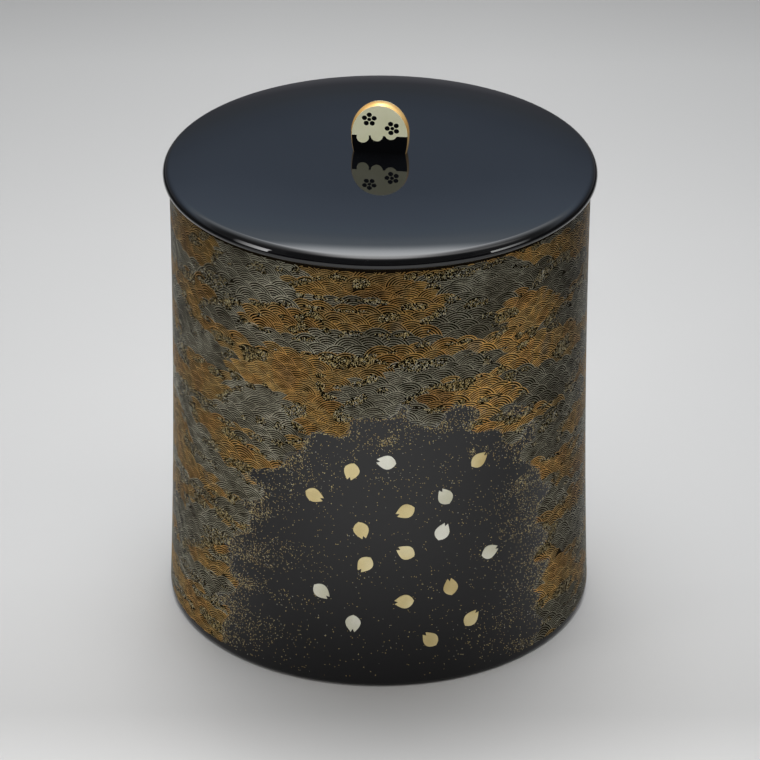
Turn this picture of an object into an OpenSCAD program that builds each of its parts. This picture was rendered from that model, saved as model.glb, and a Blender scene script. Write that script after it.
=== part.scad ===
// Lidded lacquer jar of the tea ceremony: a tall turned wall on a flared foot, a domed lid
// that drops into the mouth, and an upright arched knob with a gold edge and inlaid faces.
// The origin is the middle of the foot, +Z is up, and the decorated front faces -Y.

/* [Body] */
// Height of the body, from the floor to its mouth
body_h = 176.2; // [120:0.1:240]
// Outside radius of the wall at its narrowest
waist_r = 79.3; // [60:0.1:110]
// How far the wall flares out at the foot
foot_flare = 3.36; // [0:0.02:8]
// How far the wall swells out under the lid
mouth_flare = 0.3; // [0:0.05:2]
// Thickness of the wall
wall_t = 5.2; // [4:0.1:9]

/* [Foot and base] */
// Height of the foot ring
foot_h = 2.6; // [2:0.1:6]
// Width of the foot ring
foot_w = 11; // [8:0.5:24]
// Rounding of the foot's outer edge
foot_edge_r = 1.9; // [0.5:0.1:2]
// Thickness of the base board
base_t = 7; // [4:0.5:12]
// How deep the base board is let into the wall
base_let = 2; // [1:0.1:3]

/* [Mouth] */
// Height of the ring that lines the mouth
mouth_ring_h = 9; // [7:0.5:14]
// How deep the mouth ring is let into the wall
mouth_ring_let = 2.2; // [1:0.1:3]
// How far the mouth ring stands in from the wall
mouth_ring_in = 1.2; // [0.5:0.1:4]
// Rounding of the mouth's edges
mouth_edge_r = 0.5; // [0.2:0.1:0.9]

/* [Lid] */
// How far the lid reaches out past the wall
lid_overhang = 2.4; // [0.5:0.1:6]
// Height of the lid's widest point over its seat
lid_edge_z = 2; // [1.5:0.1:4]
// Rounding of the lid's upper edge
lid_top_edge_r = 3.4; // [1:0.1:4]
// Height of the crown over the upper edge
lid_crown = 4.6; // [1:0.1:10]
// Thickness of the lid plate inside its seat
lid_plate_t = 5; // [4.5:0.1:6]
// Depth of the ring that drops into the mouth
lid_ring_h = 6; // [3:0.5:6.5]
// Thickness of the ring that drops into the mouth
lid_ring_t = 3; // [2:0.1:5]

/* [Knob] */
// Width of the knob at its belly
knob_w = 21.7; // [14:0.1:30]
// Height of the knob over the lid
knob_h = 19.8; // [14:0.1:30]
// Thickness of the knob
knob_t = 4.8; // [4:0.1:8]
// Height of the belly over the lid
knob_belly_z = 7.2; // [5:0.1:11]
// How much narrower the knob is at its foot
knob_pinch = 1.7; // [0:0.1:4]
// Width of the gold band that edges the knob
band_w = 0.3; // [0.2:0.05:1]
// Radius of the dowel that holds the knob
dowel_r = 1.5; // [1:0.1:1.6]
// Depth of the dowel in the lid
dowel_in_lid = 3.5; // [2:0.1:4]
// Depth of the dowel in the knob
dowel_in_knob = 8; // [4:0.5:11]

/* [Knob inlay] */
// Thickness of the knob's inlay
inlay_t = 0.12; // [0.05:0.01:0.3]
// Margin between the inlay and the gold band
inlay_margin = 0.05; // [0:0.05:1]
// Height of the cloud edge over the lid, at the knob's middle
cloud_z = 7.2; // [6:0.1:11]
// Radius of the lobes along the cloud edge
cloud_lobe_r = 2.3; // [1.5:0.1:3]
// Radius of each blossom, from its middle to the middle of a petal
blossom_r = 1.9; // [1:0.05:2]

/* [Petals] */
// Number of petals on the front of the wall
petal_count = 17; // [1:1:24]
// Length of a petal
petal_l = 7.4; // [3:0.1:9]
// Width of a petal
petal_w = 5.8; // [2:0.1:8]
// Thickness of a petal
petal_t = 0.15; // [0.05:0.01:0.4]
// Height of the lowest petal over the floor
petal_low_z = 17; // [12:1:40]
// Height over which the petals drift
petal_rise = 84; // [56:1:100]
// Angle to each side over which the petals drift
petal_spread = 28; // [18:1:40]

/* [Fits] */
// Radial clearance between the lid's ring and the mouth
lid_fit = 0.3; // [0.2:0.05:1]
// Film of lacquer or glue between pieces that are let into each other
glue_gap = 0.05; // [0.02:0.01:0.1]

/* [Hidden] */

$fn = 160;
profile_steps = 28;     // bands in each turned profile
arc_steps = 6;          // chords in each small rounding
outline_steps = 24;     // chords in half of the knob's arch
flare_power = 2.4;      // how late the foot flare starts
swell_power = 6;        // how late the swell under the lid starts
crown_power = 4;        // how late the lid rolls down
petal_middle = 12;      // angle of the middle of the petals from the front
petal_phase = 0.64;     // where across the front the lowest petal lies
petal_taper = 0.3;      // how much closer together the petals start, as a share of their spread
petal_stray_a = 7;      // how far a petal strays from its place around the wall, as an angle
petal_stray_z = 4;      // how far a petal strays up or down

mouth_r = wall_in(body_h) - mouth_ring_in;
mouth_seat_r = wall_in(body_h) + mouth_ring_let;
board_r = wall_in(foot_h + base_t) + base_let;
lid_r = wall_r(body_h) + lid_overhang;
lid_ring_r = mouth_r - lid_fit;
dish_r = lid_ring_r - lid_ring_t;
dish_run = 2;           // run of the slope from the seat up into the dish
lid_slope = atan(crown_power * lid_crown / lid_r);
crown_end_r = lid_r - lid_top_edge_r * (1 - sin(lid_slope));
rim_top_z = body_h + lid_edge_z + lid_top_edge_r * cos(lid_slope);
lid_top_z = rim_top_z + lid_crown;
band_edge_r = band_w;   // the gold band carries the whole of the knob's rounded edge
belly_drop = knob_belly_z / sqrt(1 - pow(1 - knob_pinch / knob_w, 2));

// The wall's outside radius at height z
function wall_r(z) = let (t = z / body_h)
    waist_r + foot_flare * pow(1 - t, flare_power) + mouth_flare * pow(t, swell_power);

// The wall's inside radius at height z
function wall_in(z) = wall_r(z) - wall_t;

// The lid's upper surface at radius r
function lid_z(r) = rim_top_z + lid_crown * (1 - pow(r / crown_end_r, crown_power));

// Half the knob's width at height z, below its belly
function belly_x(z, inset) =
    (knob_w / 2 - inset) * sqrt(1 - pow((knob_belly_z - z) / belly_drop, 2));

// A quarter circle about [x, z], from angle a0 to angle a1
function arc(x, z, r, a0, a1) =
    [for (k = [0:arc_steps]) let (a = a0 + (a1 - a0) * k / arc_steps) [x + r * cos(a), z + r * sin(a)]];

// Heights that cut the wall into equal bands between z0 and z1
function heights(z0, z1, n) = [for (k = [0:n]) z0 + (z1 - z0) * k / n];

// The jar's wall: the foot ring carries it, the base board and the mouth ring are let into it
module body_wall() {
    color("#1b1a1f")
        rotate_extrude()
            polygon(concat(
                [[board_r + glue_gap, foot_h]],
                [for (z = heights(foot_h, body_h - mouth_edge_r, profile_steps)) [wall_r(z), z]],
                arc(wall_r(body_h) - mouth_edge_r, body_h - mouth_edge_r, mouth_edge_r, 0, 90),
                [[mouth_seat_r + glue_gap, body_h],
                 [mouth_seat_r + glue_gap, body_h - mouth_ring_h]],
                [for (z = heights(body_h - mouth_ring_h, foot_h + base_t, profile_steps)) [wall_in(z), z]],
                [[board_r + glue_gap, foot_h + base_t]]));
}

// The base board, let into the wall from below and held by the foot ring
module base_board() {
    color("#151417")
        translate([0, 0, foot_h])
            cylinder(h = base_t, r = board_r);
}

// The plain foot ring, with the round edge that shows under the decoration
module foot_ring() {
    color("#232228")
        rotate_extrude()
            polygon(concat(
                [[wall_r(0) - foot_w, 0]],
                arc(wall_r(foot_edge_r) - foot_edge_r, foot_edge_r, foot_edge_r, -90, 0),
                [[wall_r(foot_h), foot_h], [wall_r(0) - foot_w, foot_h]]));
}

// The ring that lines the mouth and guides the lid
module mouth_ring() {
    color("#1b1a1f")
        rotate_extrude()
            polygon(concat(
                [[mouth_seat_r, body_h - mouth_ring_h], [mouth_seat_r, body_h]],
                arc(mouth_r + mouth_edge_r, body_h - mouth_edge_r, mouth_edge_r, 90, 180),
                [[mouth_r, body_h - mouth_ring_h]]));
}

// The lid plate: a crown that rolls down to a round edge, dished underneath
module lid_plate() {
    edge_x = lid_r - lid_top_edge_r;
    edge_z = body_h + lid_edge_z;
    color("#20242b")
        difference() {
            rotate_extrude()
                polygon(concat(
                    [[0, lid_z(0) - lid_plate_t]],
                    [for (k = [1:profile_steps / 2]) let (r = (dish_r - dish_run) * 2 * k / profile_steps)
                        [r, lid_z(r) - lid_plate_t]],
                    [[dish_r, body_h]],
                    arc(lid_r - lid_edge_z, edge_z, lid_edge_z, -90, 0),
                    arc(edge_x, edge_z, lid_top_edge_r, 0, 90 - lid_slope),
                    [for (k = [profile_steps - 1:-1:0]) let (r = crown_end_r * sqrt(k / profile_steps))
                        [r, lid_z(r)]]));
            translate([0, 0, lid_top_z - dowel_in_lid - glue_gap])
                cylinder(h = dowel_in_lid + lid_crown, r = dowel_r + glue_gap, $fn = 48);
        }
}

// The ring under the lid that drops into the mouth
module lid_locating_ring() {
    lead = mouth_edge_r;
    color("#1b1a1f")
        rotate_extrude()
            polygon([[dish_r, body_h], [dish_r, body_h - lid_ring_h],
                     [lid_ring_r - lead, body_h - lid_ring_h], [lid_ring_r, body_h - lid_ring_h + lead],
                     [lid_ring_r, body_h]]);
}

// The knob's outline: an arch over a belly, pinched at the foot
module knob_outline(inset) {
    right = concat(
        [for (z = heights(0, knob_belly_z, arc_steps)) [belly_x(z, inset), z]],
        [for (k = [1:outline_steps]) let (a = 90 * k / outline_steps)
            [(knob_w / 2 - inset) * cos(a), knob_belly_z + (knob_h - knob_belly_z - inset) * sin(a)]]);
    left = [for (k = [len(right) - 2:-1:0]) [-right[k].x, right[k].y]];
    polygon(concat(right, left));
}

// Stands a flat shape up on the lid, as a slab of thickness t that faces -Y
module stand(t) {
    translate([0, t / 2, lid_top_z])
        rotate([90, 0, 0])
            linear_extrude(height = t)
                children();
}

// The whole knob as one slab with round edges
module knob_blank() {
    hull()
        for (k = [0:arc_steps]) let (a = 90 * k / arc_steps)
            stand(knob_t - 2 * band_edge_r * (1 - cos(a)))
                knob_outline(band_edge_r * (1 - sin(a)));
}

// The wooden core of the knob, bored for its dowel
module knob_core() {
    color("#0f0f11")
        difference() {
            stand(knob_t)
                knob_outline(band_w + glue_gap);
            translate([0, 0, lid_top_z - 1])
                cylinder(h = dowel_in_knob + 1 + glue_gap, r = dowel_r + glue_gap, $fn = 48);
        }
}

// The gold band that wraps the knob's edge from foot to foot
module knob_edge_band() {
    color("#c98f3a")
        difference() {
            knob_blank();
            stand(knob_t + 2 * band_w)
                union() {
                    knob_outline(band_w);
                    translate([-belly_x(0, band_w), -band_w])
                        square([2 * belly_x(0, band_w), knob_belly_z]);
                }
        }
}

// Five round petals about a round heart
module blossom() {
    circle(r = blossom_r * 0.4, $fn = 32);
    for (k = [0:4])
        rotate(90 + 72 * k)
            translate([blossom_r, 0])
                circle(r = blossom_r * 0.52, $fn = 32);
}

// The pale field of a face: the arch above a lobed cloud edge, pierced by two blossoms
module cloud_field() {
    difference() {
        intersection() {
            knob_outline(band_w + inlay_margin);
            union() {
                translate([-knob_w, cloud_z])
                    square([2 * knob_w, knob_h]);
                for (k = [-1:1])
                    translate([(2 * k - 0.4) * cloud_lobe_r * 1.15, cloud_z + 0.35 * k * cloud_lobe_r])
                        circle(r = cloud_lobe_r, $fn = 48);
            }
        }
        translate([-knob_w * 0.18, knob_h - blossom_r * 3.2])
            blossom();
        translate([knob_w * 0.22, cloud_z + blossom_r * 1.7])
            rotate(20)
                blossom();
    }
}

module knob_front_inlay() {
    color("#b8b89a")
        translate([0, -(knob_t + inlay_t) / 2, 0])
            stand(inlay_t)
                cloud_field();
}

module knob_back_inlay() {
    color("#b8b89a")
        translate([0, (knob_t + inlay_t) / 2, 0])
            stand(inlay_t)
                mirror([1, 0])
                    cloud_field();
}

// The dowel that joins the knob to the lid
module knob_dowel() {
    color("#a37b48")
        translate([0, 0, lid_top_z - dowel_in_lid])
            cylinder(h = dowel_in_lid + dowel_in_knob, r = dowel_r, $fn = 48);
}

// A petal's outline about its middle, round at the sides and notched at the tip
module petal_outline() {
    steps = 10;
    side = [for (k = [0:steps]) let (u = k / steps)
        [petal_w / 2 * sin(166 * pow(u, 0.75)), petal_l * (u - 0.5)]];
    polygon(concat(
        side,
        [[0, petal_l * 0.32]],
        [for (k = [steps:-1:1]) [-side[k].x, side[k].y]]));
}

// One thin petal on the wall, at angle a round from the front and height z, turned by spin
module petal(a, z, spin) {
    low = z - petal_l;
    high = z + petal_l;
    in = glue_gap;
    out = glue_gap + petal_t;
    rotate(a)
        intersection() {
            rotate_extrude()
                polygon([[wall_r(low) + in, low], [wall_r(low) + out, low],
                         [wall_r(high) + out, high], [wall_r(high) + in, high]]);
            translate([0, 0, z])
                rotate([90, 0, 0])
                    rotate(spin)
                        linear_extrude(height = 2 * wall_r(0))
                            petal_outline();
        }
}

// The petals drift down across the front, spread by the golden ratio; every third one is silver
module petals(silver) {
    for (k = [0:petal_count - 1])
        if ((k % 3 == 1) == silver) {
            u = (k + 0.5) / petal_count;
            across = 2 * ((0.618 * k + petal_phase) % 1) - 1;
            spread = petal_spread * (1 - petal_taper * u);
            petal(petal_middle + spread * across + petal_stray_a * sin(177 * k),
                  petal_low_z + petal_rise * u + petal_stray_z * sin(133 * k),
                  k * 137.5 + 40);
        }
}

module petals_gold() {
    color("#c8b06a")
        petals(false);
}

module petals_silver() {
    color("#c9c9b6")
        petals(true);
}

body_wall();
base_board();
foot_ring();
mouth_ring();
lid_plate();
lid_locating_ring();
knob_core();
knob_edge_band();
knob_front_inlay();
knob_back_inlay();
knob_dowel();
petals_gold();
petals_silver();
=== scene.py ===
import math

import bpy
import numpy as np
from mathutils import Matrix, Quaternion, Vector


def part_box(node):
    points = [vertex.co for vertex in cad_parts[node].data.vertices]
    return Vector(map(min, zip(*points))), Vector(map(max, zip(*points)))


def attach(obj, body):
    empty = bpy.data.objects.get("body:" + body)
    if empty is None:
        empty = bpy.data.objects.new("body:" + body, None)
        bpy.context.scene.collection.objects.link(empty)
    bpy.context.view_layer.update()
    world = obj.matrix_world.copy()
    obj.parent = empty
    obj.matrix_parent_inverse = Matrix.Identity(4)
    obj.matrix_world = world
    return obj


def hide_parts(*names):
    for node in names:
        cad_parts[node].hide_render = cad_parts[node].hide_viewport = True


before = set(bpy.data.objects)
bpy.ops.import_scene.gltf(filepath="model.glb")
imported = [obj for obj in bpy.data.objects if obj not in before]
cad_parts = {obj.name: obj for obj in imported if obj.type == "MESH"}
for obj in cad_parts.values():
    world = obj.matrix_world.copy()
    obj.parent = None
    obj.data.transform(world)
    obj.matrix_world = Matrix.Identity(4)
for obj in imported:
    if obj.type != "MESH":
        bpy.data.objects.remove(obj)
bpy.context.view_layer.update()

# Looks of a lidded lacquer jar: black urushi, waves drawn in gold and silver powder,
# petals in the dark clearing on the front, and a gold-edged knob on a mirror-black lid.
# Sizes on the object are in millimetres, and MM turns them into metres. The camera, the lamps and
# the floor are in metres.

MM = 0.001
SEED = 11

# --- sizes that the frame gives -----------------------------------------------------------
BODY_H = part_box("mouth_ring")[1].z / MM
FOOT_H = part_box("foot_ring")[1].z / MM
LID_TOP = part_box("knob_core")[0].z / MM
LID_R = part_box("lid_plate")[1].y / MM
KNOB_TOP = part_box("knob_edge_band")[1].z / MM
KNOB_W = (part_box("knob_edge_band")[1].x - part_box("knob_edge_band")[0].x) / MM
KNOB_T = (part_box("knob_core")[1].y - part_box("knob_core")[0].y) / MM
BAND_W = KNOB_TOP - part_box("knob_core")[1].z / MM
BOARD_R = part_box("base_board")[1].y / MM
BOARD_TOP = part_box("base_board")[1].z / MM
MOUTH_SEAT_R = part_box("mouth_ring")[1].y / MM
MOUTH_SEAT_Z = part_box("mouth_ring")[0].z / MM
LID_RING_T = 3.0
DISH_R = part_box("lid_locating_ring")[1].y / MM - LID_RING_T

# --- the turned profiles, as the CAD source has them --------------------------------------
WAIST_R = 79.3
FOOT_FLARE = 3.36
FOOT_FLARE_POWER = 2.4
MOUTH_FLARE = 0.3
MOUTH_FLARE_POWER = 6
WALL_T = 5.2
FOOT_W = 11.0
FOOT_EDGE_R = 1.9
MOUTH_EDGE_R = 0.5
SEAT_GAP = 0.05                      # room between the wall's skin and what sits in it
LID_EDGE_Z = 2.0
LID_TOP_EDGE_R = 3.4
LID_CROWN = 4.6
LID_PLATE_T = 5.0
DISH_RUN = 2.0
KNOB_BELLY_Z = 7.2
KNOB_PINCH = 1.7
BAND_CROWN = 0.2                     # how far the middle of the knob's band stands out

# --- camera: degrees, metres, and the lens in millimetres ---------------------------------
CAMERA_AZIMUTH = 6.0
CAMERA_ELEVATION = 28.30
CAMERA_DISTANCE = 1.579
CAMERA_LOOK_Z = 0.0880
CAMERA_ROLL = 0.19
CAMERA_ASIDE = 0.0002
CAMERA_LENS = 192.9


def wall_r(z):
    """The wall's outside radius at height z, both in millimetres."""
    t = np.clip(np.asarray(z, float) / BODY_H, 0, 1)
    return WAIST_R + FOOT_FLARE * (1 - t) ** FOOT_FLARE_POWER + MOUTH_FLARE * t ** MOUTH_FLARE_POWER


# ==========================================================================================
# Mesh helpers
# ==========================================================================================
TURN_STEPS = 384                     # steps round a turned piece
SAME_POINT = 1e-4
ON_AXIS = 1e-6


def mesh_object(name, verts, faces, material, body, slot, smooth_angle=None):
    """A closed mesh from points in millimetres, riding on a CAD body. Faces that meet at more than
    smooth_angle degrees keep a sharp edge; without it, every face is flat."""
    faces = np.asarray(faces, np.int32)
    mesh = bpy.data.meshes.new(name)
    mesh.vertices.add(len(verts))
    mesh.vertices.foreach_set("co", (np.asarray(verts) * MM).astype(np.float32).ravel())
    mesh.loops.add(faces.size)
    mesh.loops.foreach_set("vertex_index", faces.ravel())
    mesh.polygons.add(len(faces))
    mesh.polygons.foreach_set("loop_start", np.arange(0, faces.size, faces.shape[1], dtype=np.int32))
    mesh.update(calc_edges=True)
    mesh.polygons.foreach_set("use_smooth", [smooth_angle is not None] * len(mesh.polygons))
    if smooth_angle is not None:
        mesh.set_sharp_from_angle(angle=math.radians(smooth_angle))
    mesh.materials.append(material)
    piece = bpy.data.objects.new(name, mesh)
    bpy.context.scene.collection.objects.link(piece)
    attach(piece, body)
    return piece


def arc(x, z, r, a0, a1, steps):
    """Points of a circular arc about (x, z), from angle a0 to a1 in degrees."""
    angles = np.radians(np.linspace(a0, a1, steps + 1))
    return [(x + r * math.cos(a), z + r * math.sin(a)) for a in angles]


def lathe(name, profile, material, body, slot):
    """A closed profile of (radius, height) points turned about the Z axis."""
    points = np.array([p for i, p in enumerate(profile) if math.dist(p, profile[i - 1]) > SAME_POINT])
    turn = np.linspace(0, 2 * math.pi, TURN_STEPS, endpoint=False)[:, None]
    r, z = points[:, 0], points[:, 1]
    heights = np.broadcast_to(z, (TURN_STEPS, len(z)))
    verts = np.stack([np.cos(turn) * r, np.sin(turn) * r, heights], axis=-1)
    number = np.arange(TURN_STEPS * len(z)).reshape(TURN_STEPS, len(z))
    on_axis = np.flatnonzero(r < ON_AXIS)
    number[:, on_axis] = number[0, on_axis]
    here, there = number, np.roll(number, -1, axis=0)
    faces = np.stack([here, there, np.roll(there, -1, axis=1), np.roll(here, -1, axis=1)], axis=-1)
    return mesh_object(name, *triangles_of(verts.reshape(-1, 3), faces.reshape(-1, 4)),
                       material, body, slot, smooth_angle=28)


def triangles_of(verts, quads):
    """Quads as triangles, without those that have no area, and without unused points."""
    tris = np.concatenate([quads[:, [0, 1, 2]], quads[:, [0, 2, 3]]])
    flat = (tris[:, 0] == tris[:, 1]) | (tris[:, 1] == tris[:, 2]) | (tris[:, 2] == tris[:, 0])
    tris = tris[~flat]
    used, tris = np.unique(tris, return_inverse=True)
    return verts[used], tris.reshape(-1, 3)


# ==========================================================================================
# Material helpers
# ==========================================================================================
MIX_A, MIX_B, MIX_RESULT = 6, 7, 2   # the colour sockets of a Mix node


def new_material(name):
    """A node material, its nodes and links, and its main shader."""
    material = bpy.data.materials.new(name)
    material.use_nodes = True
    nodes = material.node_tree.nodes
    return material, nodes, material.node_tree.links, nodes["Principled BSDF"]


def object_noise(nodes, links, scale, detail=2.0, roughness=0.5):
    """Noise over the object's own coordinates; scale is in cycles per metre."""
    place = nodes.new("ShaderNodeTexCoord")
    noise = nodes.new("ShaderNodeTexNoise")
    noise.inputs["Scale"].default_value = scale
    noise.inputs["Detail"].default_value = detail
    noise.inputs["Roughness"].default_value = roughness
    links.new(place.outputs["Object"], noise.inputs["Vector"])
    return noise.outputs["Fac"]


def ramp(nodes, links, value, stops):
    """A colour ramp with (position, colour) stops."""
    node = nodes.new("ShaderNodeValToRGB")
    elements = node.color_ramp.elements
    while len(elements) < len(stops):
        elements.new(0.5)
    for element, (position, colour) in zip(elements, stops):
        element.position = position
        element.color = (*colour, 1)
    links.new(value, node.inputs["Fac"])
    return node.outputs["Color"]


def grey_ramp(nodes, links, value, stops):
    """A ramp of greys with (position, level) stops."""
    return ramp(nodes, links, value, [(at, (level,) * 3) for at, level in stops])


def spread(nodes, links, value, low, high):
    """Maps a noise of 0.3 to 0.7 onto low to high."""
    node = nodes.new("ShaderNodeMapRange")
    node.inputs["From Min"].default_value = 0.3
    node.inputs["From Max"].default_value = 0.7
    node.inputs["To Min"].default_value = low
    node.inputs["To Max"].default_value = high
    links.new(value, node.inputs["Value"])
    return node.outputs["Result"]


def bump(nodes, links, height, strength, distance):
    """A surface normal that follows a height, up to a distance in metres."""
    node = nodes.new("ShaderNodeBump")
    node.inputs["Strength"].default_value = strength
    node.inputs["Distance"].default_value = distance
    links.new(height, node.inputs["Height"])
    return node.outputs["Normal"]


def math_node(nodes, links, operation, *values):
    """A Math node; each value is a number or another node's output."""
    node = nodes.new("ShaderNodeMath")
    node.operation = operation
    for socket, value in zip(node.inputs, values):
        if isinstance(value, (int, float)):
            socket.default_value = value
        else:
            links.new(value, socket)
    return node.outputs["Value"]


def vector_node(nodes, links, operation, vector, fixed):
    """A Vector Math node between another node's vector and a fixed one."""
    node = nodes.new("ShaderNodeVectorMath")
    node.operation = operation
    node.inputs[1].default_value = fixed
    links.new(vector, node.inputs[0])
    return node.outputs["Value"]


def mix(nodes, links, kind, a, b, factor=1.0):
    """Two colours, mixed by a number or by another node's output."""
    node = nodes.new("ShaderNodeMix")
    node.data_type = "RGBA"
    node.blend_type = kind
    if isinstance(factor, float):
        node.inputs["Factor"].default_value = factor
    else:
        links.new(factor, node.inputs["Factor"])
    links.new(a, node.inputs[MIX_A])
    links.new(b, node.inputs[MIX_B])
    return node.outputs[MIX_RESULT]


def multiply(nodes, links, a, b):
    """One colour times another."""
    return mix(nodes, links, "MULTIPLY", a, b)


def lacquer(name, dark, light, rough, wave, wave_depth, ior=1.5):
    """Polished urushi: a near-black body colour under a mirror surface that is never quite flat."""
    material, nodes, links, shader = new_material(name)
    cloud = object_noise(nodes, links, scale=22, detail=3)
    links.new(ramp(nodes, links, cloud, [(0.3, dark), (0.7, light)]), shader.inputs["Base Color"])
    wear = object_noise(nodes, links, scale=140, detail=4, roughness=0.6)
    links.new(spread(nodes, links, wear, rough * 0.7, rough * 1.3), shader.inputs["Roughness"])
    swell = object_noise(nodes, links, wave, detail=1)
    links.new(bump(nodes, links, swell, 1.0, wave_depth), shader.inputs["Normal"])
    shader.inputs["IOR"].default_value = ior
    return material


def metal(name, stops, metallic, rough, tone_scale, grain_scale, grain_dark, coat=0.0, relief=0.00002,
          gloss=0.5, painted_shading_round=None):
    """Powdered or beaten metal: the tone drifts over a large scale, and fine grains sparkle in it.
    With stops round the wall, it is wall metal, with painted shade at its top and painted light and shade
    round it."""
    material, nodes, links, shader = new_material(name)
    tone = ramp(nodes, links, object_noise(nodes, links, tone_scale, detail=2), stops)
    if painted_shading_round:
        split = nodes.new("ShaderNodeSeparateXYZ")
        links.new(nodes.new("ShaderNodeTexCoord").outputs["Object"], split.inputs[0])
        height = math_node(nodes, links, "MULTIPLY", split.outputs["Z"], 1 / PAINTED_SHADE_HEIGHT_SCALE)
        forwards = math_node(nodes, links, "MULTIPLY", split.outputs["Y"], -1)
        turn = math_node(nodes, links, "ARCTAN2", split.outputs["X"], forwards)
        around = math_node(nodes, links, "MULTIPLY_ADD", turn, 0.5 / math.pi, 0.5)
        # Painted light and shade: painted shade under the lid's overhang by height, painted sheen and shade
        # by the way round
        for value, painted_shade in ((height, PAINTED_SHADE_UNDER_LID), (around, painted_shading_round)):
            tone = multiply(nodes, links, tone, grey_ramp(nodes, links, value, painted_shade))
    grain = object_noise(nodes, links, grain_scale, detail=2, roughness=0.7)
    shade = grey_ramp(nodes, links, grain, [(0.35, grain_dark), (0.62, 1)])
    links.new(multiply(nodes, links, tone, shade), shader.inputs["Base Color"])
    links.new(spread(nodes, links, grain, rough * 1.25, rough * 0.8), shader.inputs["Roughness"])
    links.new(bump(nodes, links, grain, 0.6, relief), shader.inputs["Normal"])
    shader.inputs["Metallic"].default_value = metallic
    shader.inputs["Specular IOR Level"].default_value = gloss
    shader.inputs["Coat Weight"].default_value = coat
    shader.inputs["Coat Roughness"].default_value = 0.03
    shader.inputs["Coat IOR"].default_value = 1.45
    return material


def bare_wood(name):
    """Turned hardwood whose grain runs up and down."""
    material, nodes, links, shader = new_material(name)
    place = nodes.new("ShaderNodeTexCoord")
    stretch = nodes.new("ShaderNodeMapping")
    stretch.inputs["Scale"].default_value = (900, 900, 60)
    links.new(place.outputs["Object"], stretch.inputs["Vector"])
    grain = nodes.new("ShaderNodeTexNoise")
    grain.inputs["Scale"].default_value = 1
    grain.inputs["Detail"].default_value = 4
    links.new(stretch.outputs["Vector"], grain.inputs["Vector"])
    tone = ramp(nodes, links, grain.outputs["Fac"], [(0.3, (0.30, 0.18, 0.08)), (0.7, (0.52, 0.35, 0.19))])
    links.new(tone, shader.inputs["Base Color"])
    links.new(spread(nodes, links, grain.outputs["Fac"], 0.5, 0.7), shader.inputs["Roughness"])
    links.new(bump(nodes, links, grain.outputs["Fac"], 0.5, 0.0001), shader.inputs["Normal"])
    return material


# Painted light and shade in the colour of the metal on the wall: by height, where 1 is the height set below
# in metres, and by the way round, where 0.5 is the front and 0.25 and 0.75 are the left and the right
PAINTED_SHADE_HEIGHT_SCALE = 0.2
# Painted shade under the lid's overhang: the metal darkens towards the top of the wall
PAINTED_SHADE_UNDER_LID = [(0.50, 1.0), (0.62, 0.95), (0.75, 0.86), (0.83, 0.80), (0.86, 0.72), (0.88, 0.60)]
# Painted sheen on the gold lines at the sides, and painted shade on the front
PAINTED_SHEEN_AND_SHADE_ROUND_GOLD = [(0.20, 0.62), (0.28, 0.65), (0.35, 0.80), (0.392, 0.84), (0.42, 0.81),
                      (0.461, 0.61), (0.517, 0.48), (0.558, 0.60), (0.595, 0.95), (0.622, 1.0),
                      (0.647, 1.0), (0.67, 0.82), (0.69, 0.54), (0.725, 0.46), (0.80, 0.58)]
# Painted light and shade on the silver lines, by the way round
PAINTED_LIGHT_ROUND_SILVER = [(0.20, 0.76), (0.28, 0.92), (0.36, 1.0), (0.42, 0.90), (0.46, 0.75), (0.53, 0.66),
              (0.60, 0.75), (0.64, 0.82), (0.68, 0.65), (0.72, 0.53), (0.80, 0.70)]
# Painted light and shade on the sprinkled powder, by the way round
PAINTED_LIGHT_ROUND_POWDER = [(0.20, 0.60), (0.28, 0.66), (0.36, 0.80), (0.42, 0.95), (0.53, 0.92), (0.60, 0.95),
                   (0.64, 0.88), (0.68, 0.60), (0.72, 0.50), (0.80, 0.60)]

LINE_METAL = dict(metallic=0.45, rough=0.42, grain_scale=2600, grain_dark=0.45, gloss=0.0)
FLAKE_METAL = dict(metallic=0.5, rough=0.4, tone_scale=700, grain_scale=2600, grain_dark=0.6, gloss=0.3,
                   painted_shading_round=PAINTED_LIGHT_ROUND_POWDER)
LEAF_METAL = dict(metallic=0.45, rough=0.38, tone_scale=60, grain_scale=3200, grain_dark=0.9, coat=0.4)

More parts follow.
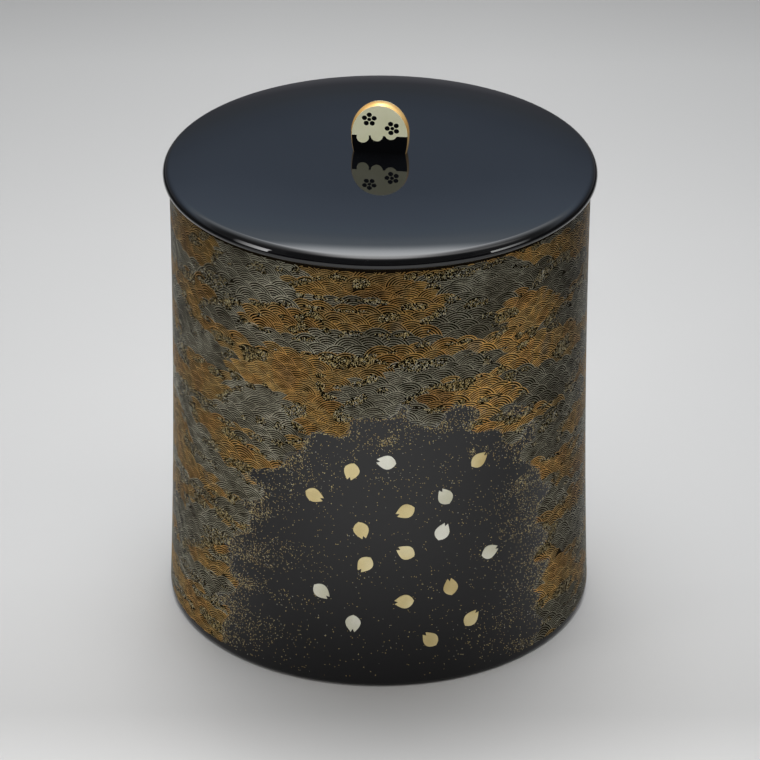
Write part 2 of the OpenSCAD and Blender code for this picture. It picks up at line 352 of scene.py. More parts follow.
MATERIALS = {
    "wall": lacquer("lacquer_wall", dark=(0.0030, 0.0029, 0.0036), light=(0.0044, 0.0041, 0.0050),
                    rough=0.05, wave=9, wave_depth=0.00002, ior=1.42),
    "wall_drawn": lacquer("lacquer_under_drawing", dark=(0.0065, 0.0048, 0.0026),
                          light=(0.0105, 0.0076, 0.0040), rough=0.16, wave=9, wave_depth=0.00002,
                          ior=1.04),
    "lid": lacquer("lacquer_lid", dark=(0.0018, 0.0020, 0.0026), light=(0.0030, 0.0032, 0.0040),
                   rough=0.035, wave=7, wave_depth=0.00001),
    "inside": lacquer("lacquer_inside", dark=(0.0050, 0.0042, 0.0042), light=(0.0085, 0.0070, 0.0068),
                      rough=0.14, wave=14, wave_depth=0.00004),
    "wave_gold": metal("waves_in_gold",
                       [(0.30, (0.57, 0.335, 0.125)), (0.42, (0.83, 0.47, 0.138)),
                        (0.52, (0.70, 0.474, 0.185)), (0.62, (0.96, 0.57, 0.165)),
                        (0.72, (0.60, 0.438, 0.230))],
                       tone_scale=85, painted_shading_round=PAINTED_SHEEN_AND_SHADE_ROUND_GOLD, **LINE_METAL),
    "wave_silver": metal("waves_in_silver",
                         [(0.30, (0.250, 0.228, 0.165)), (0.5, (0.405, 0.382, 0.285)),
                          (0.70, (0.64, 0.61, 0.47))],
                         tone_scale=70, painted_shading_round=PAINTED_LIGHT_ROUND_SILVER, **LINE_METAL),
    "powder_gold": metal("powder_in_gold",
                         [(0.30, (0.32, 0.210, 0.070)), (0.5, (0.65, 0.49, 0.19)),
                          (0.70, (0.91, 0.79, 0.41))], **FLAKE_METAL),
    "powder_silver": metal("powder_in_silver",
                           [(0.30, (0.24, 0.222, 0.162)), (0.5, (0.46, 0.44, 0.34)),
                            (0.70, (0.84, 0.82, 0.70))], **FLAKE_METAL),
    "petal_gold": metal("leaf_in_pale_gold",
                        [(0.32, (0.60, 0.46, 0.19)), (0.5, (0.76, 0.63, 0.31)),
                         (0.68, (0.86, 0.76, 0.46))], **LEAF_METAL),
    "petal_silver": metal("leaf_in_silver",
                          [(0.32, (0.62, 0.60, 0.44)), (0.5, (0.74, 0.72, 0.58)),
                           (0.68, (0.84, 0.83, 0.72))], **LEAF_METAL),
    "knob_gold": metal("polished_gold", [(0.35, (0.98, 0.54, 0.15)), (0.6, (1.0, 0.63, 0.22))],
                       metallic=0.45, rough=0.20, tone_scale=160, grain_scale=2200, grain_dark=0.9,
                       relief=0.00001),
    "knob_inlay": metal("pale_inlay", [(0.35, (0.86, 0.86, 0.58)), (0.65, (0.92, 0.91, 0.66))],
                        metallic=0.05, rough=0.4, tone_scale=110, grain_scale=3600, grain_dark=0.93,
                        coat=0.6),
    "wood": bare_wood("bare_wood"),
}

CAD_MATERIALS = {
    "body_wall": "wall", "base_board": "inside", "foot_ring": "wall", "mouth_ring": "inside",
    "lid_plate": "lid", "lid_locating_ring": "inside", "knob_core": "lid",
    "knob_edge_band": "knob_gold", "knob_front_inlay": "knob_inlay", "knob_back_inlay": "knob_inlay",
    "knob_dowel": "wood", "petals_gold": "petal_gold", "petals_silver": "petal_silver",
}


def dress_cad_nodes():
    """Every CAD node gets its procedural material."""
    for node, key in CAD_MATERIALS.items():
        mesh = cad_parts[node].data
        mesh.materials.clear()
        mesh.materials.append(MATERIALS[key])


# ==========================================================================================
# Turned pieces, finer than the CAD mesh so that the polish reflects without facets
# ==========================================================================================
DRAWN_FROM = -0.5                    # the lacquer under the drawing starts this far out of the clearing
SKIN_DEPTH = 0.2                     # and lies on faces no deeper than this under the wall's outside


def make_wall():
    """The wall, in two lacquers: bright in the clearing and duller under the drawing."""
    outer = [(float(wall_r(z)), z) for z in np.linspace(FOOT_H, BODY_H - MOUTH_EDGE_R, 120)]
    inner = [(float(wall_r(z)) - WALL_T, z) for z in np.linspace(MOUTH_SEAT_Z, BOARD_TOP, 60)]
    profile = [(BOARD_R + SEAT_GAP, FOOT_H)] + outer
    profile += arc(float(wall_r(BODY_H)) - MOUTH_EDGE_R, BODY_H - MOUTH_EDGE_R, MOUTH_EDGE_R, 0, 90, 6)
    profile += [(MOUTH_SEAT_R + SEAT_GAP, BODY_H), (MOUTH_SEAT_R + SEAT_GAP, MOUTH_SEAT_Z)]
    profile += inner + [(BOARD_R + SEAT_GAP, BOARD_TOP)]
    wall = lathe("wall_skin", profile, MATERIALS["wall"], "jar", "lacquer_body")
    wall.data.materials.append(MATERIALS["wall_drawn"])
    middles = np.empty(len(wall.data.polygons) * 3)
    wall.data.polygons.foreach_get("center", middles)
    x, y, z = middles.reshape(-1, 3).T / MM
    s = (np.arctan2(y, x) + math.pi / 2) * SHEET_R
    outside = np.hypot(x, y) > wall_r(z) - SKIN_DEPTH
    under = (clearing(s, z) < DRAWN_FROM) & (z > DRAWN_LOW) & outside
    wall.data.polygons.foreach_set("material_index", under.astype(np.int32))
    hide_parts("body_wall")


def make_foot():
    """The foot ring, with its round outer edge."""
    inner_r = float(wall_r(0)) - FOOT_W
    profile = [(inner_r, 0)]
    profile += arc(float(wall_r(FOOT_EDGE_R)) - FOOT_EDGE_R, FOOT_EDGE_R, FOOT_EDGE_R, -90, 0, 12)
    profile += [(float(wall_r(FOOT_H)), FOOT_H), (inner_r, FOOT_H)]
    foot = lathe("foot_skin", profile, MATERIALS["wall"], "jar", "lacquer_body")
    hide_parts("foot_ring")


def make_lid():
    """The lid plate: dished underneath, round at its edge and crowned on top."""
    slope = math.degrees(math.atan(4 * LID_CROWN / LID_R))
    crown_end = LID_R - LID_TOP_EDGE_R * (1 - math.sin(math.radians(slope)))
    edge_z = BODY_H + LID_EDGE_Z

    def crown(r):
        """The height of the lid's top at a distance from its middle."""
        return LID_TOP - LID_CROWN * (r / crown_end) ** 4

    profile = [(r, crown(r) - LID_PLATE_T) for r in np.linspace(0, DISH_R - DISH_RUN, 30)]
    profile += [(DISH_R, BODY_H)]
    profile += arc(LID_R - LID_EDGE_Z, edge_z, LID_EDGE_Z, -90, 0, 24)
    profile += arc(LID_R - LID_TOP_EDGE_R, edge_z, LID_TOP_EDGE_R, 0, 90 - slope, 24)[1:]
    inwards = [crown_end * math.sqrt(t) for t in np.linspace(1, 0, 90)[1:]]
    profile += [(r, crown(r)) for r in inwards]
    lid = lathe("lid_skin", profile, MATERIALS["lid"], "lid", "lacquer_lid")
    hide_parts("lid_plate")


def knob_arch(inset):
    """The knob's outline from foot to foot, over the arch."""
    drop = KNOB_BELLY_Z / math.sqrt(1 - (1 - KNOB_PINCH / KNOB_W) ** 2)
    half = KNOB_W / 2 - inset
    rise = KNOB_TOP - LID_TOP - KNOB_BELLY_Z - inset
    right = [(half * math.sqrt(1 - ((KNOB_BELLY_Z - z) / drop) ** 2), z)
             for z in np.linspace(0, KNOB_BELLY_Z, 24, endpoint=False)]
    top = [(half * math.cos(a), KNOB_BELLY_Z + rise * math.sin(a)) for a in np.linspace(0, math.pi, 97)]
    return np.array(right + top + [(-x, z) for x, z in reversed(right)])


def make_knob_band():
    """The gold band: a strip with a crowned face, swept over the arch from foot to foot."""
    section = [(BAND_W - (BAND_W + BAND_CROWN) * (1 - t * t), KNOB_T / 2 * t)
               for t in np.linspace(-1, 1, 26)]
    sweep = np.stack([np.insert(knob_arch(inset) + (0, LID_TOP), 1, y, axis=1) for inset, y in section])
    count, length = sweep.shape[:2]
    number = np.arange(count * length).reshape(count, length)
    here, there = number[:, :-1], np.roll(number, -1, axis=0)[:, :-1]
    sides = np.stack([here, here + 1, there + 1, there], axis=-1).reshape(-1, 4)
    ends = []
    for k in range(count // 2 - 1):
        opposite = count - 1 - k
        ends.append((number[k + 1, 0], number[k, 0], number[opposite, 0], number[opposite - 1, 0]))
        ends.append((number[k, -1], number[k + 1, -1], number[opposite - 1, -1], number[opposite, -1]))
    band = mesh_object("knob_band_skin", *triangles_of(sweep.reshape(-1, 3), np.concatenate([sides, ends])),
                       MATERIALS["knob_gold"], "lid", "gold", smooth_angle=35)
    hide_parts("knob_edge_band")


# ==========================================================================================
# Drawn waves: fans of concentric arcs on a loose lattice around the wall, seigaiha style
# ==========================================================================================
SHEET_R = 80.0                       # radius at which lengths around the wall are measured
SHEET_W = 2 * math.pi * SHEET_R
DRAWN_LOW = 3.4                      # top of the plain band under the drawing
# The plain band under the lid is painted shade: a dark strip that stands in for the shade under the lid's
# overhang
DRAWN_HIGH = BODY_H - 1.4            # foot of the plain band over it
FAN_COLUMNS = 64
FAN_R = 6.7
FAN_ROW = 2.95                       # rise from one row of fans to the next
FIRST_ROW_Z = -9                     # the rows start under the wall's foot
SPARE_ROWS_H = 16                    # height of the rows that lie under the foot and over the top
FAN_UNEVEN_S = 0.5                   # how unevenly the fans are set, and how much their radii differ
FAN_UNEVEN_Z = 0.3
FAN_UNEVEN_R = 0.05
FAN_MIDDLE = 0.6                     # the part of its radius up a fan where its metal is chosen
TIDE_UNEVEN = 0.12                   # lets fans of the other metal in near a seam
FAN_ARCS = 8
ARC_PITCH = 0.81
ARC_STEP = 0.70                      # length of the chords of an arc
ARC_END = 0.03                       # angle left out at both ends of an arc
FAN_GAP = 0.1                        # between a fan and the lines that it hides
UNCUT = 9.0                          # distance to a cut where there is none
LINE_W = 0.35
LINE_UNEVEN = 0.18                   # how much the width of a line varies, and how fast
LINE_UNEVEN_SCALE = 1.7
FULLEST_S = 8                        # middle and half width of the stretch with the widest lines
FULLEST_HALF_W = 40
THINNING_RUN = 35                    # beyond it, they thin out over this length, by this share
FLANK_THINNING = 0.28
LEAN_LEFT = -0.7                     # most fans lie over the one on their right
SWAY = (1.7, 1.4)                    # how far the lattice bends, around and upwards
AHEAD = 0.01                         # the step that finds a line's direction
PROUD = 0.02                         # how far the drawing stands out of the wall
KEEL = 0.12                          # how deep it is sunk into the wall
WELD_DECIMALS = 4
NO_ZERO = 1e-12                      # keeps a division from being by 0

rng = np.random.default_rng(SEED)


class SmoothField:
    """A smooth random field of unit spread, which closes on itself around the wall. Its waves are about
    wave_s long around the wall and wave_z upwards."""

    def __init__(self, wave_s, wave_z, count=30):
        turn = rng.uniform(0, math.pi, count)
        size = rng.uniform(0.5, 1.3, count)
        self.n = np.round(SHEET_W / wave_s * size * np.cos(turn))
        self.m = size * np.sin(turn) / wave_z
        self.phase = rng.uniform(0, 2 * math.pi, count)
        self.scale = math.sqrt(2 / count)

    def __call__(self, s, z):
        s, z = np.asarray(s, float), np.asarray(z, float)
        total = np.zeros(np.broadcast(s, z).shape)
        for n, m, p in zip(self.n, self.m, self.phase):
            total += np.cos(2 * math.pi * (n * s / SHEET_W + m * z) + p)
        return total * self.scale


tide = SmoothField(60, 12)           # gold where high, silver where low
ragged = SmoothField(9, 5)           # breaks up the edges of the patches
gaps = SmoothField(30, 10)           # where the drawing dissolves into powder
lean = SmoothField(70, 30)           # which neighbour in a row lies in front
sway_s = SmoothField(130, 60)        # bends the lattice sideways
sway_z = SmoothField(110, 60)        # bends the lattice up and down

# The dark clearing on the lower front: its middle, half width and height on the sheet
CLEARING_S = 13.0
CLEARING_HALF_W = 67.0
CLEARING_TOP = 115.0
CLEARING_LEAN = 0.10                 # how far it leans right for each millimetre over this height
CLEARING_LEAN_Z = 40
CLEARING_SQUARE = (2.6, 2.9, 2.7)    # powers that make it squarer than an oval
CLEARING_DEPTH = 62                  # how far inside its middle is
COVE_DEPTH = 2.6                     # the bays in its edge, and how slowly they follow each other
COVE_SCALE = 0.45


def round_sheet(ds):
    """The shorter way round the wall."""
    return (ds + SHEET_W / 2) % SHEET_W - SHEET_W / 2


def warp(u, v):
    """From the regular lattice to the wall."""
    return u + SWAY[0] * sway_s(u, v), v + SWAY[1] * sway_z(u, v)


def clearing(s, z):
    """Roughly how many millimetres a point lies inside the dark clearing; negative outside."""
    s = round_sheet(np.asarray(s, float))
    x = (s - CLEARING_S - CLEARING_LEAN * (z - CLEARING_LEAN_Z)) / CLEARING_HALF_W
    y = z / CLEARING_TOP
    power_x, power_y, root = CLEARING_SQUARE
    shape = 1 - (np.abs(x) ** power_x + np.abs(y) ** power_y) ** (1 / root)
    return shape * CLEARING_DEPTH + COVE_DEPTH * ragged(s * COVE_SCALE, z * COVE_SCALE)


def to_wall(s, z, proud):
    """A point of the sheet, at arc length s from the front, on the wall."""
    a = s / SHEET_R - math.pi / 2
    r = wall_r(z) + proud
    return np.stack([r * np.cos(a), r * np.sin(a), np.broadcast_to(z, np.shape(a))], axis=-1)


SEAM_STEEP, SEAM_W, SEAM_RAGGED = 3.0, 0.30, 0.50
HOLE_LEVEL, HOLE_RAGGED = 1.25, 0.4
SHORE_LEVEL, SHORE_STEEP = 0.1, 0.2


def drawn(s, z):
    """Above 0 where the lines hold. Below it they have broken up into powder: along the seams of gold
    and silver, in holes here and there, and at the shore of the clearing."""
    seam = np.abs(tide(s, z)) * SEAM_STEEP - SEAM_W - SEAM_RAGGED * ragged(s, z)
    hole = HOLE_LEVEL - gaps(s, z) - HOLE_RAGGED * ragged(s, z)
    shore = SHORE_LEVEL - clearing(s, z) * SHORE_STEEP
    return np.minimum(np.minimum(seam, hole), shore)


def fan_lattice():
    """The middles and radii of the fans, and the numbers of those that lie before each, or -1."""
    rows = int((BODY_H + SPARE_ROWS_H) / FAN_ROW)
    width = SHEET_W / FAN_COLUMNS
    j, k = np.divmod(np.arange(rows * FAN_COLUMNS), FAN_COLUMNS)
    u = (k + 0.5 * (j % 2)) * width + rng.normal(0, FAN_UNEVEN_S, len(j))
    v = FIRST_ROW_Z + j * FAN_ROW + rng.normal(0, FAN_UNEVEN_Z, len(j))
    r = FAN_R * (1 + rng.normal(0, FAN_UNEVEN_R, len(j)))
    fronts = []
    for down in range(1, 5):
        for side in range(-1, 2):
            column = (k + side + (down % 2) * (j % 2)) % FAN_COLUMNS
            fronts.append(np.where(j >= down, (j - down) * FAN_COLUMNS + column, -1))
    right = j * FAN_COLUMNS + (k + 1) % FAN_COLUMNS
    left = j * FAN_COLUMNS + (k - 1) % FAN_COLUMNS
    fronts.append(np.where(lean(u + width / 2, v) < LEAN_LEFT, right, -1))
    fronts.append(np.where(lean(u - width / 2, v) >= LEAN_LEFT, left, -1))
    return u, v, r, np.array(fronts)


def slim(s):
    """The share of their width that the lines keep. They are fullest on the front."""
    beyond = np.abs(round_sheet(s - FULLEST_S)) - FULLEST_HALF_W
    return 1 - FLANK_THINNING * np.clip(beyond / THINNING_RUN, 0, 1)


class Lines:
    """Every arc of every fan, cut where a fan in front hides it and where the drawing breaks up."""

    def __init__(self):
        u, v, r, fronts = fan_lattice()
        s, z = warp(u, v + r * FAN_MIDDLE)
        self.fan_s = s % SHEET_W
        self.fan_gold = tide(s, z) + rng.normal(0, TIDE_UNEVEN, len(u)) > 0
        fan, angle, radius, starts, ends = [], [], [], [], []
        for ring in range(FAN_ARCS):
            ring_r = r - ring * ARC_PITCH * r / FAN_R
            steps = int(math.ceil(math.pi * (FAN_R - ring * ARC_PITCH) / ARC_STEP))
            a = np.broadcast_to(np.linspace(ARC_END, math.pi - ARC_END, steps + 1), (len(u), steps + 1))
            x, y = u[:, None] + ring_r[:, None] * np.cos(a), v[:, None] + ring_r[:, None] * np.sin(a)
            ink = np.full(a.shape, UNCUT)    # above 0 where the arc shows
            for front in fronts:
                away = np.hypot(round_sheet(x - u[front][:, None]), y - v[front][:, None])
                seen = away - r[front][:, None] - FAN_GAP
                ink = np.minimum(ink, np.where(front[:, None] >= 0, seen, UNCUT))
            ws, wz = warp(x, y)
            ink = np.minimum.reduce([ink, drawn(ws, wz), wz - DRAWN_LOW, DRAWN_HIGH - wz])
            i, k = np.nonzero((ink[:, :-1] > 0) | (ink[:, 1:] > 0))
            ink0, ink1 = ink[i, k], ink[i, k + 1]
            cut = np.clip(ink0 / (ink0 - ink1 + NO_ZERO), 0, 1)
            a0 = np.where(ink0 > 0, a[i, k], a[i, k] + cut * (a[i, k + 1] - a[i, k]))
            a1 = np.where(ink1 > 0, a[i, k + 1], a[i, k] + cut * (a[i, k + 1] - a[i, k]))
            fan.append(i)
            radius.append(ring_r[i])
            angle.append(np.stack([a0, a1]))
            starts.append((ink0 <= 0) | (k == 0))
            ends.append((ink1 <= 0) | (k == steps - 1))
        self.fan, self.radius = np.concatenate(fan), np.concatenate(radius)
        self.angle = np.concatenate(angle, axis=1)
        self.starts, self.ends = np.concatenate(starts), np.concatenate(ends)
        self.u, self.v = u, v

    def ribbons(self, chosen):
        """Closed strips along the chosen chords: a flat top just proud of the wall, and a keel in it."""
        fan, radius = self.fan[chosen], self.radius[chosen]
        corners = []
        for angle in self.angle[:, chosen]:
            x, y = self.u[fan] + radius * np.cos(angle), self.v[fan] + radius * np.sin(angle)
            s, z = warp(x, y)
            ahead_s, ahead_z = warp(x - AHEAD * np.sin(angle), y + AHEAD * np.cos(angle))
            ds, dz = ahead_s - s, ahead_z - z
            uneven = 1 + LINE_UNEVEN * ragged(s * LINE_UNEVEN_SCALE, z * LINE_UNEVEN_SCALE)
            half = LINE_W / 2 * uneven * slim(s) / np.hypot(ds, dz)
            corners += [to_wall(s - dz * half, z + ds * half, PROUD),
                        to_wall(s + dz * half, z - ds * half, PROUD), to_wall(s, z, -KEEL)]
        verts = np.stack(corners, axis=1).reshape(-1, 3)
        first = 6 * np.arange(len(fan))[:, None]
        tris = [first + corner for corner in
                ((0, 1, 4), (0, 4, 3), (1, 2, 5), (1, 5, 4), (2, 0, 3), (2, 3, 5))]
        tris += [first[self.starts[chosen]] + (2, 1, 0), first[self.ends[chosen]] + (3, 4, 5)]
        return weld(verts, np.concatenate(tris))


def weld(verts, tris):
    """Joins the points that lie in the same place."""
    spots, number = np.unique(np.round(verts, WELD_DECIMALS), axis=0, return_inverse=True)
    tris = number.reshape(-1)[tris]
    whole = (tris[:, 0] != tris[:, 1]) & (tris[:, 1] != tris[:, 2]) & (tris[:, 2] != tris[:, 0])
    return spots, tris[whole]


def quarter(s):
    """Which quarter of the wall a point lies on: 0 is the front."""
    return ((np.asarray(s) + SHEET_W / 8) % SHEET_W / (SHEET_W / 4)).astype(int)


QUARTERS = ("front", "right", "back", "left")


def make_waves():
    """The lines, as a piece for each metal and quarter of the wall."""
    lines = Lines()
    gold, side = lines.fan_gold[lines.fan], quarter(lines.fan_s[lines.fan])
    for slot in ("gold", "silver"):
        for number, word in enumerate(QUARTERS):
            chosen = (gold == (slot == "gold")) & (side == number)
            verts, tris = lines.ribbons(np.flatnonzero(chosen))
            mesh_object("waves_%s_%s" % (slot, word), verts, tris, MATERIALS["wave_" + slot],
                        "jar", slot)


# ==========================================================================================
# Sprinkled powder
# ==========================================================================================
DENSEST = 6.0                        # flakes tried on a square millimetre, over all the densities below
BROKEN_DENSE = 5.5                   # where the lines have broken up
BROKEN_LEVEL, BROKEN_STEEP = 0.25, 4
BANK = 1.5                           # how far into the clearing that this powder reaches
EDGE_DENSE, EDGE_RUN = 2.6, 2.2      # from there inwards: a thick edge, and how fast it thins out
DRIFT_DENSE, DRIFT_RUN = 1.1, 4.5    # a thinner drift, which reaches further
LOW_DENSE, LOW_RUN = 1.5, 6.0        # what is added to the drift low on the wall
LOW_START, LOW_OVER = 12, 55         # which starts this far under the clearing's top, over this height
STRAY_DENSE = 0.05                   # single flakes in all the clearing
VEIL_LEAST = 0.3                     # the edge and the drift come in veils
VEIL_STEEP, VEIL_SCALE, VEIL_AT = 1.4, 0.7, 40
GOLD_SHARE = 0.85                    # flakes that are gold in the clearing and among the gold lines
GOLD_SHARE_IN_SILVER = 0.45
FLAKE_LEAST, FLAKE_MORE = 0.13, 0.14
FLAKE_ODDS = (1.2, 3.2)              # most flakes are small


def powder_density(s, z):
    """How many flakes lie on a square millimetre of the wall."""
    inside = clearing(s, z)
    broken = np.clip(BROKEN_LEVEL - drawn(s, z) * BROKEN_STEEP, 0, 1) * (inside < BANK)
    veil = 0.5 + 0.5 * np.tanh(VEIL_STEEP * gaps(s * VEIL_SCALE, z * VEIL_SCALE + VEIL_AT))
    inwards = np.clip(inside, 0, None)
    low = np.clip((CLEARING_TOP - LOW_START - z) / LOW_OVER, 0, 1)
    edge = EDGE_DENSE * np.exp(-inwards / EDGE_RUN)
    drift = (DRIFT_DENSE + LOW_DENSE * low) * np.exp(-inwards / (DRIFT_RUN + LOW_RUN * low))
    shore = (edge + drift) * (inside >= BANK)
    return BROKEN_DENSE * broken + shore * (VEIL_LEAST + veil) + STRAY_DENSE * (inside > 0)


def flakes(s, z, size, turn):
    """Small closed flakes: a flat four-sided top and a point sunk in the wall."""
    corners = []
    for k in range(4):
        angle = turn + k * math.pi / 2
        corners.append(to_wall(s + size * np.cos(angle), z + size * np.sin(angle), PROUD))
    verts = np.stack(corners + [to_wall(s, z, -KEEL)], axis=1).reshape(-1, 3)
    first = 5 * np.arange(len(s))[:, None]
    tris = [first + corner for corner in ((0, 1, 2), (0, 2, 3), (1, 0, 4), (2, 1, 4), (3, 2, 4), (0, 3, 4))]
    return verts, np.concatenate(tris)


def make_powder():
    """The flakes, as a piece for each metal and quarter of the wall."""
    tries = int(SHEET_W * (DRAWN_HIGH - DRAWN_LOW) * DENSEST)
    s = rng.uniform(0, SHEET_W, tries)
    z = rng.uniform(DRAWN_LOW, DRAWN_HIGH, tries)
    keep = rng.uniform(0, DENSEST, tries) < powder_density(s, z)
    s, z = s[keep], z[keep]
    share = np.where((tide(s, z) > 0) | (clearing(s, z) > 0), GOLD_SHARE, GOLD_SHARE_IN_SILVER)
    gold = rng.uniform(0, 1, len(s)) < share
    size = FLAKE_LEAST + FLAKE_MORE * rng.beta(*FLAKE_ODDS, len(s))
    turn = rng.uniform(0, math.pi / 2, len(s))
    for slot in ("gold", "silver"):
        for number, word in enumerate(QUARTERS):
            pick = (gold == (slot == "gold")) & (quarter(s) == number)
            verts, tris = flakes(s[pick], z[pick], size[pick], turn[pick])
            mesh_object("powder_%s_%s" % (slot, word), verts, tris, MATERIALS["powder_" + slot],
                        "jar", slot)


# ==========================================================================================
# Floor, light and camera
# ==========================================================================================
AWAY = Vector((-math.sin(math.radians(CAMERA_AZIMUTH)), math.cos(math.radians(CAMERA_AZIMUTH)), 0))
SIDE = Vector((math.cos(math.radians(CAMERA_AZIMUTH)), math.sin(math.radians(CAMERA_AZIMUTH)), 0))

# The floor's tones at distances in metres, painted light and shade on a pale sheet: along the view, where 1
# is the jar's middle, with painted shade just before its foot and a dark floor where the sheet ends in
# front; a painted falloff of light behind the jar and to its sides, where the sheet ends too; and round
# three points
# near its foot, each given as (to the side, away): painted light by its left side, painted shade before it
FLOOR_HALF_W = 6.0
FLOOR_TINT = (1, 0.978, 0.95)
# Painted shade darkens the sheet just before the jar's foot; the sheet ends in dark floor about 0.8 m
# before the jar
FLOOR_PAINTED_SHADE_ALONG = [(0.20, 0.03), (0.24, 0.90), (0.70, 0.99), (0.79, 0.88), (0.855, 0.68), (0.90, 0.555),
               (1.0, 0.62)]
# Painted falloff of light behind the jar
FLOOR_PAINTED_FALLOFF_BEHIND = [(0.15, 1), (0.30, 0.93), (0.50, 0.76), (0.58, 0.62), (0.9, 0.40)]
# Painted falloff of light to the jar's sides, and where the sheet ends, about 0.4 m out
FLOOR_PAINTED_FALLOFF_ASIDE = [(0.06, 1), (0.25, 0.86), (0.38, 0.80), (0.41, 0.05)]
FLOOR_PAINTED_LIGHT_AND_SHADE = [
    # Painted light: a lighter patch by the jar's left side
    ((-0.095, -0.020), [(0, 1), (0.05, 0.96), (0.10, 0.92), (0.16, 0.90)]),
    # Painted shade: two darker patches before the jar's foot
    ((0.030, -0.095), [(0, 0.88), (0.03, 0.90), (0.06, 0.96), (0.10, 1)]),
    ((-0.020, -0.080), [(0, 0.86), (0.02, 0.865), (0.03, 0.885), (0.045, 0.91), (0.06, 0.96), (0.08, 1)]),
]


def make_floor():
    """A pale sheet with painted light and shade: a painted falloff away from the jar, and painted patches
    by its foot.
    """
    far = FLOOR_HALF_W
    mesh = bpy.data.meshes.new("floor")
    mesh.from_pydata([(-far, -far, 0), (far, -far, 0), (far, far, 0), (-far, far, 0)], [], [(0, 1, 2, 3)])
    material, nodes, links, shader = new_material("pale_floor_painted_light")
    shader.inputs["Roughness"].default_value = 0.9
    shader.inputs["Specular IOR Level"].default_value = 0.1
    place = nodes.new("ShaderNodeTexCoord").outputs["Object"]
    along = vector_node(nodes, links, "DOT_PRODUCT", place, AWAY)
    across = vector_node(nodes, links, "DOT_PRODUCT", place, SIDE)
    # Along the view, with painted shade before the jar's foot
    tone = ramp(nodes, links, math_node(nodes, links, "ADD", along, 1.0),
                [(at, tuple(level * tint for tint in FLOOR_TINT)) for at, level in FLOOR_PAINTED_SHADE_ALONG])
    # Painted falloff of light behind and to the sides, and painted light and shade round points by the foot
    fades = [(along, FLOOR_PAINTED_FALLOFF_BEHIND), (math_node(nodes, links, "ABSOLUTE", across), FLOOR_PAINTED_FALLOFF_ASIDE)]
    for (aside, away), stops in FLOOR_PAINTED_LIGHT_AND_SHADE:
        fades.append((vector_node(nodes, links, "DISTANCE", place, aside * SIDE + away * AWAY), stops))
    for value, stops in fades:
        tone = multiply(nodes, links, tone, grey_ramp(nodes, links, value, stops))
    links.new(tone, shader.inputs["Base Color"])
    mesh.materials.append(material)
    floor = bpy.data.objects.new("floor", mesh)
    bpy.context.scene.collection.objects.link(floor)


def towards(azimuth, elevation):
    """A direction from the jar. Azimuth 0 is to the camera, and 90 to the camera's right."""
    a, e = math.radians(azimuth + CAMERA_AZIMUTH), math.radians(elevation)
    return Vector((math.sin(a) * math.cos(e), -math.cos(a) * math.cos(e), math.sin(e)))


def hang_lamp(name, data, target, place):
    """Puts a lamp in its place, facing its target."""
    lamp = bpy.data.objects.new(name, data)
    lamp.location = place
    lamp.rotation_euler = (target - place).to_track_quat("-Z", "Y").to_euler()
    bpy.context.scene.collection.objects.link(lamp)


SOFTBOX_DISTANCE = 1.1
SOFTBOX_AIM_Z = 0.1


def softbox(name, azimuth, elevation, width, height, radiance, fade):
    """A soft lamp that faces the jar and is dark at one end; fade, 1 or -1, says at which."""
    target = Vector((0, 0, SOFTBOX_AIM_Z))
    data = bpy.data.lights.new(name, "AREA")
    data.shape = "RECTANGLE"
    data.size, data.size_y = width, height
    data.energy = radiance * math.pi * width * height
    data.use_nodes = True
    nodes, links = data.node_tree.nodes, data.node_tree.links
    split = nodes.new("ShaderNodeSeparateXYZ")
    links.new(nodes.new("ShaderNodeNewGeometry").outputs["Parametric"], split.inputs[0])
    along = split.outputs["X"]
    if fade < 0:
        along = math_node(nodes, links, "SUBTRACT", 1, along)
    links.new(grey_ramp(nodes, links, along, [(0, 0), (0.55, 0.6), (0.9, 1)]),
              nodes["Emission"].inputs["Color"])
    hang_lamp(name, data, target, target + SOFTBOX_DISTANCE * towards(azimuth, elevation))


def snoot(name, azimuth, elevation, distance, cone, power):
    """A narrow lamp on the knob, which the black lid under it would leave in the dark."""
    target = Vector((0, 0, (LID_TOP + KNOB_TOP) / 2 * MM))
    data = bpy.data.lights.new(name, "SPOT")
    data.energy = power
    data.spot_size = math.radians(cone)
    data.spot_blend = 0.5
    data.shadow_soft_size = 0.02
    hang_lamp(name, data, target, target + distance * towards(azimuth, elevation))


def grey(value):
    """A colour of three equal parts."""
    return (value, value, value)


KEY_RADIANCE = 6.0                   # the world's strength, by which its colours are divided

# The world's radiance by the angle in degrees from the horizon behind the jar, up and over to the
# camera's side: a back wall that brightens upwards, a wide soft light on it, and a dimmer one above
BACK_WALL = [(0, (0.20, 0.20, 0.22)), (8, (0.13, 0.135, 0.155)), (14, (0.15, 0.17, 0.20)),
             (20, (0.19, 0.23, 0.30)), (28, (0.30, 0.37, 0.49)), (36, (0.48, 0.59, 0.77)),
             (41, (0.62, 0.77, 0.97)), (46, (0.85, 0.98, 1.15)), (60, (0.9, 1.0, 1.1)),
             (108, grey(0.15)), (114, grey(0.06))]
KEY_LIGHT = [(43, grey(0)), (47.2, (0.20, 0.22, 0.22)), (48.2, (0.85, 0.90, 0.92)),
             (49.0, (1.8, 1.85, 1.9)), (50.1, (3.3, 3.35, 3.4)), (51.2, (4.5, 4.55, 4.6)),
             (52.2, (5.1, 5.1, 5.15)), (53.5, grey(5.4)), (65, grey(5.4)), (90, grey(5.0)),
             (97, grey(4.2)), (103, grey(2.6)), (108, grey(1.2)), (114, grey(0.4)), (122, grey(0.12)),
             (136, grey(0))]
ABOVE_LIGHT = [(84, grey(0)), (92, grey(1.2)), (103, grey(1.1)), (109, grey(0.4)), (114, grey(0))]

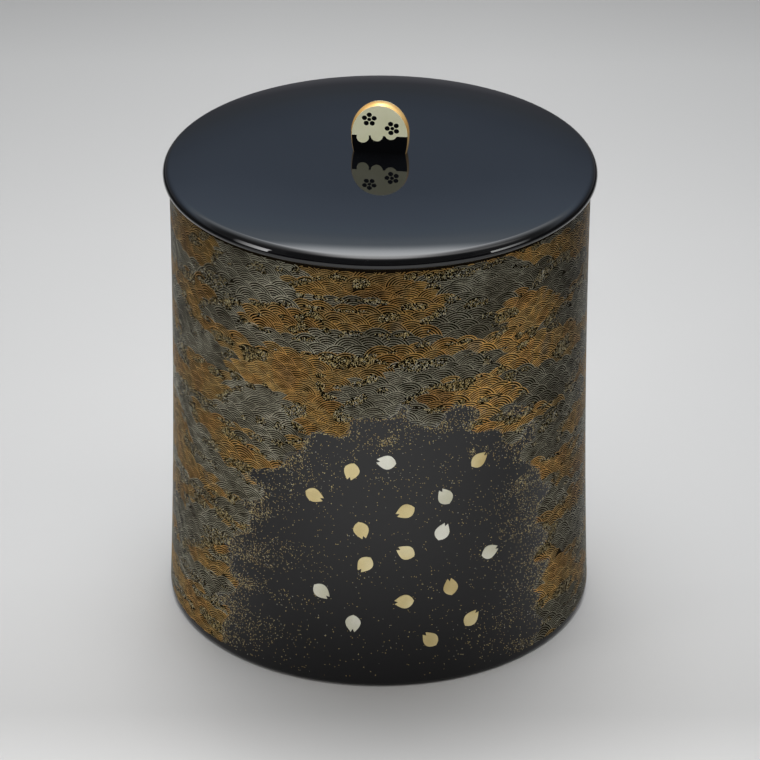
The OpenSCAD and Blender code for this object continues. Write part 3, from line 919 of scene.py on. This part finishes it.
# How the two lights fall off sideways, from 0 at the far left to 1 at the far right
KEY_WIDTH = [(0.12, 0), (0.20, 0.08), (0.335, 0.16), (0.39, 0.5), (0.45, 1), (0.55, 1), (0.61, 0.5),
             (0.665, 0.26), (0.74, 0.15), (0.82, 0.08), (0.90, 0)]
ABOVE_WIDTH = [(0.26, 0), (0.38, 0.9), (0.46, 0.5), (0.54, 0.5), (0.61, 1), (0.84, 0.95), (0.93, 0)]

# Dark screens on the camera's side, as shares of the strength, and how they turn into the back wall
SCREEN_LEAN = 0.28
SCREENS = [(0, 0.018), (0.012, 0.028), (1.0, 0.030)]
SCREEN_TO_WALL = [(0.50, 0), (0.78, 1)]


def make_world():
    """A studio: dark screens on the camera's side, and a back wall that brightens into a soft light."""
    world = bpy.data.worlds.new("studio")
    bpy.context.scene.world = world
    world.use_nodes = True
    nodes, links = world.node_tree.nodes, world.node_tree.links

    def calculate(operation, *values):
        return math_node(nodes, links, operation, *values)

    def by_angle(value, stops):
        """A ramp over degrees, for a value of 0 to 1 that stands for 0 to 180 degrees."""
        return ramp(nodes, links, value, [(angle / 180, tuple(c / KEY_RADIANCE for c in colour))
                                          for angle, colour in stops])

    direction = nodes.new("ShaderNodeTexCoord").outputs["Generated"]
    split = nodes.new("ShaderNodeSeparateXYZ")
    links.new(direction, split.inputs[0])
    up = split.outputs["Z"]
    behind = vector_node(nodes, links, "DOT_PRODUCT", direction, AWAY)
    across = vector_node(nodes, links, "DOT_PRODUCT", direction, SIDE)

    over = calculate("DIVIDE", calculate("ARCTAN2", up, behind), math.pi)
    sideways = calculate("MULTIPLY_ADD", across, 0.5, 0.5)
    lights = [multiply(nodes, links, by_angle(over, stops), grey_ramp(nodes, links, sideways, width))
              for stops, width in ((KEY_LIGHT, KEY_WIDTH), (ABOVE_LIGHT, ABOVE_WIDTH))]

    level = calculate("SQRT", calculate("SUBTRACT", 1.0001, calculate("MULTIPLY", up, up)))
    round_about = calculate("MULTIPLY_ADD", calculate("DIVIDE", behind, level), 0.5, 0.5)
    leaning = calculate("MULTIPLY", up, SCREEN_LEAN)
    inside = calculate("SUBTRACT", calculate("ADD", calculate("ABSOLUTE", across), behind), leaning)
    room = mix(nodes, links, "MIX", grey_ramp(nodes, links, inside, SCREENS), by_angle(over, BACK_WALL),
               factor=grey_ramp(nodes, links, round_about, SCREEN_TO_WALL))
    for light in lights:
        room = mix(nodes, links, "ADD", room, light)
    links.new(room, nodes["Background"].inputs["Color"])
    nodes["Background"].inputs["Strength"].default_value = KEY_RADIANCE


def make_camera():
    """The photograph's view."""
    target = Vector((0, 0, CAMERA_LOOK_Z))
    data = bpy.data.cameras.new("camera")
    data.lens = CAMERA_LENS
    data.sensor_width = 36
    camera = bpy.data.objects.new("camera", data)
    camera.location = target + CAMERA_DISTANCE * towards(0, CAMERA_ELEVATION)
    looks = (target + SIDE * CAMERA_ASIDE - camera.location).to_track_quat("-Z", "Y")
    camera.rotation_euler = (looks @ Quaternion((0, 0, 1), math.radians(CAMERA_ROLL))).to_euler()
    bpy.context.scene.collection.objects.link(camera)
    bpy.context.scene.camera = camera


make_camera()
make_world()
make_floor()
softbox("left_softbox", azimuth=-66, elevation=9.5, width=0.40, height=0.54, radiance=8.5, fade=1)
softbox("right_softbox", azimuth=67, elevation=4.5, width=0.46, height=0.33, radiance=6, fade=-1)
snoot("knob_snoot", azimuth=-8, elevation=42, distance=0.9, cone=7, power=8)
dress_cad_nodes()
make_wall()
make_foot()
make_lid()
make_knob_band()
make_waves()
make_powder()

bpy.context.scene.view_settings.view_transform = "Standard"
